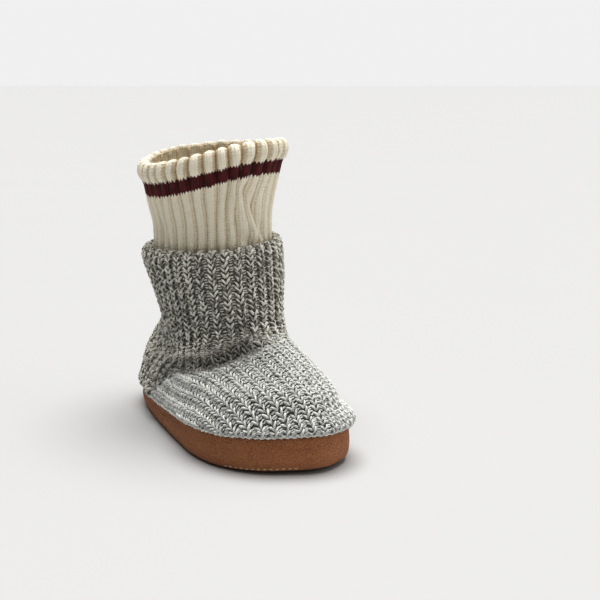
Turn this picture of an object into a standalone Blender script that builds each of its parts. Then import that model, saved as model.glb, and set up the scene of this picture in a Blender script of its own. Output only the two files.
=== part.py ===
# Knitted boot slipper for the right foot: a grey knitted boot with a ribbed cuff on a padded platform sole.
# Metres, +Z up. The toe points to -Y, the outer side of the foot to -X, and the origin is on the floor
# under the middle of the sole.
import bmesh
import bpy
import numpy as np

# Sole
SOLE_LENGTH = 0.262
BALL_WIDTH = 0.109
HEEL_THICKNESS = 0.0195
BALL_THICKNESS = 0.0255
TOE_SPRING = 0.003
EDGE_RADIUS = 0.005
OUTSOLE_THICKNESS = 0.0025
OUTSOLE_MARGIN = 0.007
RIM_LIFT = 0.0006
INSOLE_THICKNESS = 0.005

# Knitted boot
KNIT_WALL = 0.0035
OVERHANG = 0.0044
DROOP = 0.0022
LASTING_MARGIN = 0.0035
INSTEP_HEIGHT = 0.080
BOOT_HEIGHT = 0.1435
ANKLE_LENGTH = 0.150
ANKLE_WIDTH = 0.085
TOP_LENGTH = 0.144
TOP_WIDTH = 0.1075

# Ribbed cuff
COLLAR_HEIGHT = 0.2205
WAIST_LENGTH = 0.119
WAIST_WIDTH = 0.088
COLLAR_LENGTH = 0.138
COLLAR_WIDTH = 0.1075
CUFF_WALL = 0.003
HEM_WALL = 0.0055
CUFF_TUCK = 0.008
CUFF_RIBS = 30
RIB_DEPTH = 0.0011

# Soft lean of the boot's top edge and of the collar: front higher, outer side lower, inner side higher
SEAM_PITCH = 0.0055
SEAM_DROP = 0.0035
SEAM_RISE = 0.005
COLLAR_PITCH = 0.009
COLLAR_DROP = 0.013
COLLAR_SIDE_RISE = 0.003

CLEARANCE = 0.0003
AROUND = 72
POINTS_PER_RIB = 4

# Sole outline, as shares of SOLE_LENGTH from the heel and of BALL_WIDTH to each side
# Columns: along, outer, inner
OUTLINE = (
    (0.000, 0.000, 0.000),
    (0.030, -0.215, 0.205),
    (0.080, -0.300, 0.300),
    (0.160, -0.372, 0.360),
    (0.300, -0.428, 0.362),
    (0.450, -0.468, 0.362),
    (0.600, -0.497, 0.425),
    (0.700, -0.505, 0.490),
    (0.800, -0.466, 0.505),
    (0.880, -0.370, 0.468),
    (0.940, -0.235, 0.395),
    (0.980, -0.050, 0.275),
    (1.000, 0.120, 0.120),
)

# Where the sole's top climbs from heel to ball, and its toe lifts, as shares of SOLE_LENGTH
CLIMB_SHARES = (0.25, 0.80)
SPRING_START_SHARE = 0.75

# Section of the knit where it bulges over the sole's edge, from the seam on the sole upwards.
# Columns: beyond the edge (share of OVERHANG), above the sole (share of DROOP)
BULGE = (
    (0.10, -0.10),
    (0.80, -1.10),
    (1.08, 0.70),
    (0.45, 4.20),
)

# The foot, from the bulge up to the bend of the ankle. Columns: back and front (shares of SOLE_LENGTH),
# outer and inner (shares of BALL_WIDTH), back height and front height (shares of the way from the sole to
# INSTEP_HEIGHT), drop of the outer side (share of INSTEP_HEIGHT), round (0 follows the sole's outline,
# 1 is the shaft's oval), slim (how much the oval narrows to the heel)
FOOT = (
    (-0.019, 0.990, 0.490, 0.456, 0.24, 0.31, 0.000, 0.00, 0.00),
    (-0.017, 0.962, 0.450, 0.440, 0.39, 0.50, 0.000, 0.05, 0.00),
    (-0.004, 0.888, 0.399, 0.410, 0.57, 0.69, 0.037, 0.20, 0.08),
    (0.018, 0.794, 0.362, 0.380, 0.735, 0.86, 0.087, 0.40, 0.18),
    (0.042, 0.700, 0.344, 0.386, 0.885, 0.98, 0.112, 0.70, 0.28),
)

# The shaft. Columns: height (share of the way from INSTEP_HEIGHT to BOOT_HEIGHT), flare (0 is the ankle,
# 1 the top), pitch, drop and rise (shares of the seam's), slim
SHAFT = (
    (0.087, 0.00, 0.5, 1.7, 0.0, 0.30),
    (0.283, 0.24, 0.4, 1.1, 0.0, 0.22),
    (0.535, 0.62, 0.7, 0.9, 0.2, 0.15),
    (0.770, 0.92, 1.0, 0.9, 0.6, 0.06),
    (0.905, 1.00, 1.0, 1.0, 1.0, 0.00),
)

# The rolled top edge of the boot. Columns: way from the shaft's top in to the cuff, height from
# BOOT_HEIGHT (share of CUFF_TUCK)
ROLL = (
    (0.10, -0.30),
    (0.32, 0.05),
    (0.62, 0.12),
    (0.92, -0.10),
    (1.00, -0.40),
)

# The cuff. Columns: height (share of the way from BOOT_HEIGHT to COLLAR_HEIGHT), flare (0 is the waist,
# 1 the collar), lean (0 is the seam's, 1 the collar's)
CUFF = (
    (0.07, 0.00, 0.10),
    (0.28, 0.05, 0.45),
    (0.52, 0.38, 1.00),
    (0.76, 0.80, 1.00),
    (0.91, 1.00, 1.00),
)

# Middle of each plan section, as shares of SOLE_LENGTH from the heel, and its shift to the inner side,
# as a share of its own width
ANKLE_MIDDLE_SHARE = 0.351
ANKLE_SHIFT_SHARE = 0.058
TOP_MIDDLE_SHARE = 0.336
TOP_SHIFT_SHARE = 0.040
WAIST_MIDDLE_SHARE = 0.334
WAIST_SHIFT_SHARE = 0.066
COLLAR_MIDDLE_SHARE = 0.3435
COLLAR_SHIFT_SHARE = 0.053


def smooth_step(share, start, end):
    t = np.clip((share - start) / (end - start), 0, 1)
    return t * t * (3 - 2 * t)


def spring(along):
    return TOE_SPRING * np.clip((along - SPRING_START_SHARE) / (1 - SPRING_START_SHARE), 0, 1) ** 2


def sole_bottom(distance):
    """Height of the sole's underside at these distances from the heel."""
    return spring(distance / SOLE_LENGTH)


def sole_top(distance):
    along = distance / SOLE_LENGTH
    climb = (BALL_THICKNESS - HEEL_THICKNESS) * smooth_step(along, *CLIMB_SHARES)
    return HEEL_THICKNESS + climb + spring(along)


def turn(count):
    """Angles of one ring: 0 at the heel, a quarter turn at the outer side, half a turn at the toe."""
    return np.arange(count) * 2 * np.pi / count


def outline_side(angles):
    """Sideways share of the sole's outline at each angle, by a smooth closed curve through OUTLINE."""
    along, outer, inner = np.array(OUTLINE).T
    knots = np.arccos(1 - 2 * along)
    knots = np.concatenate([knots, 2 * np.pi - knots[-2:0:-1]])
    sides = np.concatenate([outer, inner[-2:0:-1]])
    before, after = np.roll(knots, 1), np.roll(knots, -1)
    before[0] -= 2 * np.pi
    after[-1] += 2 * np.pi
    slopes = (np.roll(sides, -1) - np.roll(sides, 1)) / (after - before)
    piece = np.searchsorted(knots, angles, side="right") - 1
    span = (after - knots)[piece]
    t = (angles - knots[piece]) / span
    following = (piece + 1) % len(knots)
    return (
        (1 + 2 * t) * (1 - t) ** 2 * sides[piece]
        + t * (1 - t) ** 2 * span * slopes[piece]
        + t * t * (3 - 2 * t) * sides[following]
        - t * t * (1 - t) * span * slopes[following]
    )


def ring(plan, angles, rounding=1.0, slim=0.0):
    """Sideways position, distance from the heel and the shares behind them, of one closed section.
    A plan holds the section's back, front, outer and inner extremes."""
    back, front, outer, inner = plan
    widest = max(max(abs(row[1]), abs(row[2])) for row in OUTLINE)
    along = (1 - np.cos(angles)) / 2
    foot = outline_side(angles) / widest
    oval = -np.sin(angles) * (1 - slim * np.cos(angles))
    side = foot * (1 - rounding) + oval * rounding
    across = np.where(side < 0, side * outer, side * inner)
    return across, back + (front - back) * along, side, along


def points(across, distance, height):
    return np.column_stack([across, SOLE_LENGTH / 2 - distance, height])


def grown(plan, by):
    back, front, outer, inner = plan
    return back - by, front + by, outer + by, inner + by


def between(first, second, share):
    return tuple(a + (b - a) * share for a, b in zip(first, second))


def sole_plan(beyond):
    """The sole's outline grown by this much."""
    half = BALL_WIDTH * max(max(abs(row[1]), abs(row[2])) for row in OUTLINE)
    return grown((0.0, SOLE_LENGTH, half, half), beyond)


def oval_plan(middle, length, width, shift):
    centre = middle * SOLE_LENGTH
    return centre - length / 2, centre + length / 2, width * (0.5 - shift), width * (0.5 + shift)


def ankle_plan():
    return oval_plan(ANKLE_MIDDLE_SHARE, ANKLE_LENGTH, ANKLE_WIDTH, ANKLE_SHIFT_SHARE)


def top_plan():
    return oval_plan(TOP_MIDDLE_SHARE, TOP_LENGTH, TOP_WIDTH, TOP_SHIFT_SHARE)


def waist_plan():
    return oval_plan(WAIST_MIDDLE_SHARE, WAIST_LENGTH, WAIST_WIDTH, WAIST_SHIFT_SHARE)


def collar_plan():
    return oval_plan(COLLAR_MIDDLE_SHARE, COLLAR_LENGTH, COLLAR_WIDTH, COLLAR_SHIFT_SHARE)


def leaning(height, side, along, pitch, drop, rise):
    """A height that leans: up by half of pitch at the front, down by drop outside, up by rise inside."""
    even = (rise - drop) / 2 * side * side
    odd = (rise + drop) / 2 * side
    return height + pitch * (along - 0.5) + even + odd


def sole_ring(beyond, height_above, level, angles):
    """A section that follows the sole's outline at a height above the sole's top or bottom."""
    across, distance, _, _ = ring(sole_plan(beyond), angles, rounding=0)
    return points(across, distance, level(np.clip(distance, 0, SOLE_LENGTH)) + height_above)


def foot_ring(row, angles):
    back, front, outer, inner, back_height, front_height, drop, rounding, slim = row
    plan = (back * SOLE_LENGTH, front * SOLE_LENGTH, outer * BALL_WIDTH, inner * BALL_WIDTH)
    across, distance, side, along = ring(plan, angles, rounding, slim)
    share = back_height + (front_height - back_height) * along
    base = sole_top(np.clip(distance, 0, SOLE_LENGTH))
    height = base + share * (INSTEP_HEIGHT - base)
    return points(across, distance, leaning(height, side, along, 0, drop * INSTEP_HEIGHT, 0))


def shaft_ring(row, angles):
    height, flare, pitch, drop, rise, slim = row
    plan = between(ankle_plan(), top_plan(), flare)
    across, distance, side, along = ring(plan, angles, slim=slim)
    level = INSTEP_HEIGHT + height * (BOOT_HEIGHT - INSTEP_HEIGHT)
    return points(
        across,
        distance,
        leaning(level, side, along, pitch * SEAM_PITCH, drop * SEAM_DROP, rise * SEAM_RISE),
    )


def seam_plan():
    """Where the boot's rolled edge meets the cuff's ribs."""
    return grown(waist_plan(), RIB_DEPTH + CLEARANCE)


def roll_ring(inward, below, angles):
    plan = between(top_plan(), seam_plan(), inward)
    across, distance, side, along = ring(plan, angles)
    level = BOOT_HEIGHT + below
    return points(
        across, distance, leaning(level, side, along, SEAM_PITCH, SEAM_DROP, SEAM_RISE)
    )


def cuff_ring(level, flare, lean, inset, angles, rib=0.0):
    plan = grown(between(waist_plan(), collar_plan(), flare), -inset)
    across, distance, side, along = ring(plan, angles)
    outward = np.column_stack([side, -(2 * along - 1)])
    outward /= np.linalg.norm(outward, axis=1)[:, None]
    pitch, drop, rise = between(
        (SEAM_PITCH, SEAM_DROP, SEAM_RISE), (COLLAR_PITCH, COLLAR_DROP, COLLAR_SIDE_RISE), lean
    )
    section = points(across, distance, leaning(level, side, along, pitch, drop, rise))
    section[:, :2] += outward * np.broadcast_to(rib, len(angles))[:, None]
    return section


def inward_of(rows, wall):
    """The same grid of sections, moved in along its own normals by the wall."""
    grid = np.array(rows)
    around = np.roll(grid, -1, axis=1) - np.roll(grid, 1, axis=1)
    upward = np.gradient(grid, axis=0)
    normals = np.cross(upward, around)
    normals /= np.linalg.norm(normals, axis=2)[:, :, None]
    return grid + normals * wall


def lofted(name, rings, capped):
    """One solid through the rings. Capped ends are ruled across from side to side, so they keep the
    sole's curve; otherwise the last ring joins the first, as in a wall with two openings."""
    mesh = bmesh.new()
    corners = [[mesh.verts.new(point) for point in one] for one in rings]
    count = len(corners[0])
    following = list(zip(corners, corners[1:]))
    if not capped:
        following.append((corners[-1], corners[0]))
    for lower, upper in following:
        for i in range(count):
            j = (i + 1) % count
            mesh.faces.new((lower[i], upper[i], upper[j], lower[j]))
    if capped:
        for end in (corners[0], corners[-1]):
            for i in range(count // 2):
                strip = (end[i], end[i + 1], end[-i - 1], end[-i])
                mesh.faces.new(tuple(dict.fromkeys(strip)))
    bmesh.ops.recalc_face_normals(mesh, faces=mesh.faces)
    data = bpy.data.meshes.new(name)
    mesh.to_mesh(data)
    mesh.free()
    data.shade_smooth()
    data.set_sharp_from_angle(angle=np.radians(50))
    return bpy.data.objects.new(name, data)


def make_outsole():
    angles = turn(AROUND)
    bevel = OUTSOLE_THICKNESS / 4
    section = (
        (OUTSOLE_MARGIN + bevel, 0.0),
        (OUTSOLE_MARGIN, bevel),
        (OUTSOLE_MARGIN, OUTSOLE_THICKNESS),
    )
    rings = [sole_ring(-inset, up, sole_bottom, angles) for inset, up in section]
    return lofted("outsole", rings, capped=True)


def make_midsole():
    """The padded platform, its wrap turned under round the outsole."""
    angles = turn(AROUND)
    recess = OUTSOLE_MARGIN - CLEARANCE
    under = (
        (recess, OUTSOLE_THICKNESS + CLEARANCE),
        (recess, RIM_LIFT),
        (EDGE_RADIUS * 0.70, RIM_LIFT),
        (EDGE_RADIUS * 0.30, RIM_LIFT + EDGE_RADIUS * 0.28),
        (EDGE_RADIUS * 0.06, RIM_LIFT + EDGE_RADIUS * 0.90),
    )
    over = (
        (0.0, -EDGE_RADIUS * 1.40),
        (EDGE_RADIUS * 0.04, -EDGE_RADIUS * 0.60),
        (EDGE_RADIUS * 0.18, -EDGE_RADIUS * 0.22),
        (EDGE_RADIUS * 0.50, 0.0),
    )
    rings = [sole_ring(-inset, up, sole_bottom, angles) for inset, up in under]
    rings += [sole_ring(-inset, up, sole_top, angles) for inset, up in over]
    return lofted("midsole", rings, capped=True)


def lasting_inset():
    """Where the turned-in edge of the knit ends on the sole, and the insole starts."""
    return EDGE_RADIUS * 0.50 + CLEARANCE + LASTING_MARGIN


def make_insole():
    angles = turn(AROUND)
    edge = lasting_inset() + CLEARANCE * 2
    bevel = INSOLE_THICKNESS / 5
    section = (
        (edge + bevel, CLEARANCE),
        (edge, CLEARANCE + bevel),
        (edge, INSOLE_THICKNESS - bevel),
        (edge + bevel, INSOLE_THICKNESS),
    )
    rings = [sole_ring(-inset, up, sole_top, angles) for inset, up in section]
    return lofted("insole", rings, capped=True)


def make_upper():
    """Foot and shaft in one wall, open at the top edge and underneath."""
    angles = turn(AROUND)
    seat = [sole_ring(-EDGE_RADIUS * 0.50 - CLEARANCE, CLEARANCE, sole_top, angles)]
    bulge = [sole_ring(out * OVERHANG, up * DROOP, sole_top, angles) for out, up in BULGE]
    foot = [foot_ring(row, angles) for row in FOOT]
    shaft = [shaft_ring(row, angles) for row in SHAFT]
    roll = [roll_ring(inward, below * CUFF_TUCK, angles) for inward, below in ROLL]
    tuck_end = [roll_ring(1.0, -CUFF_TUCK - 4 * CLEARANCE, angles)]
    wall = inward_of(bulge + foot + shaft, KNIT_WALL)
    inside = list(wall[len(bulge) - 1 : -1])[::-1]
    lining = [sole_ring(-KNIT_WALL * 0.4, KNIT_WALL, sole_top, angles)]
    turned_in = [sole_ring(-lasting_inset(), CLEARANCE, sole_top, angles)]
    rings = seat + bulge + foot + shaft + roll + tuck_end + inside + lining + turned_in
    return lofted("upper", rings, capped=False)


def make_cuff():
    """Ribbed tube whose top edge is a thicker turned hem."""
    angles = turn(CUFF_RIBS * POINTS_PER_RIB)
    rib = RIB_DEPTH * np.sin(angles * CUFF_RIBS / 2) ** 2
    rise = COLLAR_HEIGHT - BOOT_HEIGHT
    rows = [(BOOT_HEIGHT - CUFF_TUCK, 0.0, 0.0)]
    rows += [(BOOT_HEIGHT + height * rise, flare, lean) for height, flare, lean in CUFF]
    outside = [cuff_ring(*row, 0.0, angles, rib) for row in rows]
    rim = [
        cuff_ring(COLLAR_HEIGHT - HEM_WALL * 0.2, 1.0, 1.0, HEM_WALL * 0.18, angles, rib),
        cuff_ring(COLLAR_HEIGHT, 1.0, 1.0, HEM_WALL * 0.5, angles, rib / 2),
        cuff_ring(COLLAR_HEIGHT - HEM_WALL * 0.2, 1.0, 1.0, HEM_WALL * 0.85, angles),
    ]
    walls = [HEM_WALL, HEM_WALL] + [CUFF_WALL] * (len(rows) - 2)
    inside = [cuff_ring(*row, wall, angles) for row, wall in zip(rows[::-1], walls)]
    return lofted("cuff", outside + rim + inside, capped=False)


def material(name, colour, roughness):
    finish = bpy.data.materials.new(name)
    finish.use_nodes = True
    shader = finish.node_tree.nodes["Principled BSDF"]
    shader.inputs["Base Color"].default_value = (*colour, 1)
    shader.inputs["Roughness"].default_value = roughness
    shader.inputs["Metallic"].default_value = 0
    return finish


def clear_scene():
    for item in list(bpy.data.objects):
        bpy.data.objects.remove(item, do_unlink=True)


def main():
    clear_scene()
    collection = bpy.data.collections.new("knit_slipper")
    bpy.context.scene.collection.children.link(collection)
    pieces = (
        (make_outsole(), "dark rubber", (0.045, 0.036, 0.030), 0.85),
        (make_midsole(), "brown suede", (0.145, 0.056, 0.026), 0.90),
        (make_insole(), "grey felt", (0.240, 0.230, 0.210), 0.95),
        (make_upper(), "grey marl knit", (0.230, 0.230, 0.215), 0.90),
        (make_cuff(), "cream rib knit", (0.560, 0.490, 0.370), 0.90),
    )
    for piece, name, colour, roughness in pieces:
        piece.data.materials.append(material(name, colour, roughness))
        collection.objects.link(piece)


main()
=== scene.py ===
# Knitted boot slipper for the right foot: marl knit foot and shaft, ribbed cream cuff with one dark stripe,
# padded brown sole. Metres, +Z up, toe to -Y, outer side of the foot to -X.
import math
import bpy
import numpy as np
from mathutils import Matrix, Vector


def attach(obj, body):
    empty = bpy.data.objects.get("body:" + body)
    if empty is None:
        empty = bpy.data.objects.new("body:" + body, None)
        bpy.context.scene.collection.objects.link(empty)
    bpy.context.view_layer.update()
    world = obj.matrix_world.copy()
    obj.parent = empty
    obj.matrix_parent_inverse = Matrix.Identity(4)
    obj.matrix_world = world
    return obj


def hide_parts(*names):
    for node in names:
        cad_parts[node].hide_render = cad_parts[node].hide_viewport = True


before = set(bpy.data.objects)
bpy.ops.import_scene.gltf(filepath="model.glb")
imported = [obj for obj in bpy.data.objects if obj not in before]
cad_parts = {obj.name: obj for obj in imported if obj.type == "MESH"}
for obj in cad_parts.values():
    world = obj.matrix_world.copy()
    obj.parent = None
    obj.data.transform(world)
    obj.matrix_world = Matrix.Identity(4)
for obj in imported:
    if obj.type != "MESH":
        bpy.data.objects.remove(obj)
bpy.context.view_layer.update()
scene = bpy.context.scene
chance = np.random.default_rng(11)
print("frame loaded:", sorted(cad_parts))


# Camera, at the photograph's angle
view = {
    "azimuth": -26.8,  # degrees
    "elevation": 11.0,
    "distance": 0.900,
    "lens": 69.48,  # millimetres, as the sensor's width
    "sensor": 36,
    "clip": (0.02, 30),
    "target": (0, 0, 0.110),
    "aside": 0.05557,  # from the target to the middle of the frame
    "up": -0.0070,
}


def makeCamera():
    turn, rise = math.radians(view["azimuth"]), math.radians(view["elevation"])
    right = Vector((math.cos(turn), math.sin(turn), 0))
    back = Vector((math.sin(turn) * math.cos(rise), -math.cos(turn) * math.cos(rise), math.sin(rise)))
    up = back.cross(right)
    lens = bpy.data.cameras.new("camera")
    lens.sensor_width = view["sensor"]
    lens.lens = view["lens"]
    lens.clip_start, lens.clip_end = view["clip"]
    camera = bpy.data.objects.new("camera", lens)
    place = Vector(view["target"]) + right * view["aside"] + up * view["up"] + back * view["distance"]
    camera.matrix_world = Matrix([[right[i], up[i], back[i], place[i]] for i in range(3)] + [[0, 0, 0, 1]])
    scene.collection.objects.link(camera)
    scene.camera = camera


makeCamera()


# Shader sockets in plain expressions
class Wire:
    def __init__(self, tree, socket=None):
        self.tree, self.socket = tree, socket

    def node(self, kind, settings=None, sockets=None, out=0):
        made = self.tree.nodes.new(kind)
        for key, value in (settings or {}).items():
            setattr(made, key, value)
        for key, value in (sockets or {}).items():
            if isinstance(value, Wire):
                self.tree.links.new(value.socket, made.inputs[key])
            else:
                made.inputs[key].default_value = value
        return Wire(self.tree, made.outputs[out])

    def maths(self, operation, *values):
        return self.node("ShaderNodeMath", {"operation": operation}, dict(enumerate(values)))

    def __add__(self, other):
        return self.maths("ADD", self, other)

    def __sub__(self, other):
        return self.maths("SUBTRACT", self, other)

    def __rsub__(self, other):
        return self.maths("SUBTRACT", other, self)

    def __mul__(self, other):
        return self.maths("MULTIPLY", self, other)

    def __truediv__(self, other):
        return self.maths("DIVIDE", self, other)

    def __rtruediv__(self, other):
        return self.maths("DIVIDE", other, self)

    __radd__, __rmul__ = __add__, __mul__

    def limited(self, low, high):  # 0 below low, 1 above high, soft between
        sockets = {"Value": self, "From Min": low, "From Max": high}
        return self.node("ShaderNodeMapRange", {"interpolation_type": "SMOOTHSTEP"}, sockets)

    def wave(self):  # sine of a share of a turn
        return self.maths("SINE", self * (2 * math.pi))

    def ridge(self):  # 0 at whole numbers, 1 halfway between
        return self.maths("ABSOLUTE", self.maths("FRACT", self) * 2 - 1) * -1 + 1

    def axes(self):
        parts = self.node("ShaderNodeSeparateXYZ", None, {0: self}).socket.node
        return [Wire(self.tree, output) for output in parts.outputs]

    def blend(self, first, second):  # colours, by this share
        sockets = {0: self, 6: first, 7: second}
        return self.node("ShaderNodeMix", {"data_type": "RGBA"}, sockets, out=2)

    def noise(self, place, scale, detail=2.0, rough=0.5):
        sockets = {"Vector": place, "Scale": scale, "Detail": detail, "Roughness": rough}
        return self.node("ShaderNodeTexNoise", None, sockets)


def finishOf(name, roughness, sheen=0.0, sheenRoughness=0.6, gloss=0.25):
    material = bpy.data.materials.new(name)
    material.use_nodes = True
    tree = material.node_tree
    surface = tree.nodes["Principled BSDF"]
    surface.inputs["Roughness"].default_value = roughness
    surface.inputs["Sheen Weight"].default_value = sheen
    surface.inputs["Sheen Roughness"].default_value = sheenRoughness
    surface.inputs["Specular IOR Level"].default_value = gloss
    start = Wire(tree)
    place = start.node("ShaderNodeTexCoord", out=3)
    grid = start.node("ShaderNodeUVMap", {"uv_map": "grid"})
    return material, surface, place, grid


def connect(surface, wire, name):
    wire.tree.links.new(wire.socket, surface.inputs[name])


def bumped(surface, height, strength, distance):
    sockets = {"Height": height, "Strength": strength, "Distance": distance}
    connect(surface, height.node("ShaderNodeBump", None, sockets), "Normal")


def tone(red, green, blue):  # sRGB, 0 to 255, to a linear colour
    shares = [value / 255 for value in (red, green, blue)]
    return (*[s / 12.92 if s < 0.04045 else ((s + 0.055) / 1.055) ** 2.4 for s in shares], 1)


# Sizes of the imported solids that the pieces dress
sole = {
    "length": 0.262,
    "ballWidth": 0.109,
    "heelThickness": 0.0195,
    "ballThickness": 0.0255,
    "toeSpring": 0.003,
    "springStart": 0.75,
    "climb": (0.25, 0.80),
    "edgeRadius": 0.005,
    "outsoleMargin": 0.007,
    "outsoleThickness": 0.0025,
    "rimLift": 0.0006,
    # along, outer, inner
    "outline": (
        (0.000, 0.000, 0.000),
        (0.030, -0.215, 0.205),
        (0.080, -0.300, 0.300),
        (0.160, -0.372, 0.360),
        (0.300, -0.428, 0.362),
        (0.450, -0.468, 0.362),
        (0.600, -0.497, 0.425),
        (0.700, -0.505, 0.490),
        (0.800, -0.466, 0.505),
        (0.880, -0.370, 0.468),
        (0.940, -0.235, 0.395),
        (0.980, -0.050, 0.275),
        (1.000, 0.120, 0.120),
    ),
}
boot = {
    "wall": 0.0035,
    "overhang": 0.0044,
    "droop": 0.0022,
    "seat": 0.5,  # in from the sole's edge, in edge radii, where the knit meets the sole
    "lasting": 0.0035,
    "liningInset": 0.4,  # in walls
    "instep": 0.080,
    "height": 0.1435,
    "tuck": 0.008,
    "clearance": 0.0003,
    "ankle": (0.351, 0.150, 0.085, 0.058),  # middle, length, width, shift to the inner side
    "top": (0.336, 0.144, 0.1075, 0.040),
    "waist": (0.334, 0.119, 0.088, 0.066),
    "collar": (0.3435, 0.138, 0.1075, 0.053),
    "seamLean": (0.0055, 0.0035, 0.005),  # pitch, drop outside, rise inside
    "collarLean": (0.009, 0.013, 0.003),
    "ribDepth": 0.0011,
    # beyond the sole's edge, above the sole
    "bulge": ((0.16, 0.00), (0.62, 0.02), (1.00, 1.45), (0.45, 4.20)),
    # back, front, outer, inner, back height, front height, drop outside, round, slim
    "foot": (
        (-0.019, 0.990, 0.490, 0.456, 0.24, 0.31, 0.000, 0.00, 0.00),
        (-0.017, 0.962, 0.450, 0.440, 0.39, 0.50, 0.000, 0.05, 0.00),
        (-0.004, 0.888, 0.399, 0.410, 0.57, 0.69, 0.037, 0.20, 0.08),
        (0.018, 0.794, 0.362, 0.380, 0.735, 0.86, 0.087, 0.40, 0.18),
        (0.042, 0.700, 0.344, 0.386, 0.885, 0.98, 0.112, 0.70, 0.28),
    ),
    # height, flare, pitch, drop, rise, slim
    "shaft": (
        (0.087, 0.00, 0.5, 1.7, 0.0, 0.30),
        (0.283, 0.24, 0.4, 1.1, 0.0, 0.22),
        (0.535, 0.62, 0.7, 0.9, 0.2, 0.15),
        (0.770, 0.92, 1.0, 0.9, 0.6, 0.06),
        (0.905, 1.00, 1.0, 1.0, 1.0, 0.00),
    ),
    # inward, below the top
    "roll": ((0.10, -0.30), (0.32, 0.05), (0.62, 0.12), (0.92, -0.10), (1.00, -0.40)),
}


def smoothStep(value, start, end):
    share = np.clip((value - start) / (end - start), 0, 1)
    return share * share * (3 - 2 * share)


def eased(share, span, first, second, firstSlope, secondSlope):  # a curve through two values, by their slopes
    return (
        (1 + 2 * share) * (1 - share) ** 2 * first
        + share * (1 - share) ** 2 * span * firstSlope
        + share * share * (3 - 2 * share) * second
        - share * share * (1 - share) * span * secondSlope
    )


def runAlong(points):  # length to each point of a line, or to each row of a grid
    steps = np.linalg.norm(np.diff(points, axis=0), axis=-1)
    if steps.ndim > 1:
        steps = steps.mean(axis=1)
    return np.concatenate([[0], np.cumsum(steps)])


def soleBottom(distance):
    past = (distance / sole["length"] - sole["springStart"]) / (1 - sole["springStart"])
    return sole["toeSpring"] * np.clip(past, 0, 1) ** 2


def soleTop(distance):
    climb = sole["ballThickness"] - sole["heelThickness"]
    rise = climb * smoothStep(distance / sole["length"], *sole["climb"])
    return sole["heelThickness"] + rise + soleBottom(distance)


def turned(count):  # 0 at the heel, a quarter outside, half at the toe
    return np.arange(count) * 2 * np.pi / count


def outlineSide(angles):
    along, outer, inner = np.array(sole["outline"]).T
    knots = np.arccos(1 - 2 * along)
    knots = np.concatenate([knots, 2 * np.pi - knots[-2:0:-1]])
    sides = np.concatenate([outer, inner[-2:0:-1]])
    before, after = np.roll(knots, 1), np.roll(knots, -1)
    before[0] -= 2 * np.pi
    after[-1] += 2 * np.pi
    slopes = (np.roll(sides, -1) - np.roll(sides, 1)) / (after - before)
    piece = np.searchsorted(knots, angles, side="right") - 1
    span = (after - knots)[piece]
    t = (angles - knots[piece]) / span
    follow = (piece + 1) % len(knots)
    return eased(t, span, sides[piece], sides[follow], slopes[piece], slopes[follow])


widest = max(max(abs(row[1]), abs(row[2])) for row in sole["outline"])


def ringOf(plan, angles, rounding=1.0, slim=0.0):
    back, front, outer, inner = plan
    along = (1 - np.cos(angles)) / 2
    oval = -np.sin(angles) * (1 - slim * np.cos(angles))
    side = outlineSide(angles) / widest * (1 - rounding) + oval * rounding
    return np.where(side < 0, side * outer, side * inner), back + (front - back) * along, side, along


def placed(across, distance, height):
    return np.column_stack([across, sole["length"] / 2 - distance, height])


def grown(plan, by):
    return plan[0] - by, plan[1] + by, plan[2] + by, plan[3] + by


def between(first, second, share):
    return tuple(a + (b - a) * share for a, b in zip(first, second))


def ovalPlan(name):
    middle, length, width, shift = boot[name]
    centre = middle * sole["length"]
    return centre - length / 2, centre + length / 2, width * (0.5 - shift), width * (0.5 + shift)


def leaning(height, side, along, pitch, drop, rise):
    return height + pitch * (along - 0.5) + (rise - drop) / 2 * side * side + (rise + drop) / 2 * side


def soleRing(beyond, above, level, angles):
    half = sole["ballWidth"] * widest
    across, distance, _, _ = ringOf(grown((0, sole["length"], half, half), beyond), angles, rounding=0)
    return placed(across, distance, level(np.clip(distance, 0, sole["length"])) + above)


def footRing(row, angles):
    back, front, outer, inner, backHeight, frontHeight, drop, rounding, slim = row
    length, width = sole["length"], sole["ballWidth"]
    plan = (back * length, front * length, outer * width, inner * width)
    across, distance, side, along = ringOf(plan, angles, rounding, slim)
    base = soleTop(np.clip(distance, 0, length))
    height = base + (backHeight + (frontHeight - backHeight) * along) * (boot["instep"] - base)
    return placed(across, distance, leaning(height, side, along, 0, drop * boot["instep"], 0))


def shaftRing(row, angles):
    height, flare, pitch, drop, rise, slim = row
    plan = between(ovalPlan("ankle"), ovalPlan("top"), flare)
    across, distance, side, along = ringOf(plan, angles, slim=slim)
    level = boot["instep"] + height * (boot["height"] - boot["instep"])
    lean = [share * full for share, full in zip((pitch, drop, rise), boot["seamLean"])]
    return placed(across, distance, leaning(level, side, along, *lean))


def rollRing(inward, below, angles):
    seam = grown(ovalPlan("waist"), boot["ribDepth"] + boot["clearance"])
    across, distance, side, along = ringOf(between(ovalPlan("top"), seam, inward), angles)
    return placed(across, distance, leaning(boot["height"] + below, side, along, *boot["seamLean"]))


def throughRows(rows, spacing):  # a smooth surface through the rings, in even steps
    rows = np.array(rows)
    gaps = np.linalg.norm(np.diff(rows, axis=0), axis=2).mean(axis=1)
    knots = np.concatenate([[0], np.cumsum(gaps)])
    slopes = np.gradient(rows, knots, axis=0)
    steps = np.linspace(0, knots[-1], int(knots[-1] / spacing) + 2)
    piece = np.clip(np.searchsorted(knots, steps, side="right") - 1, 0, len(gaps) - 1)
    span = gaps[piece][:, None, None]
    t = (steps - knots[piece])[:, None, None] / span
    return eased(t, span, rows[piece], rows[piece + 1], slopes[piece], slopes[piece + 1])


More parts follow.
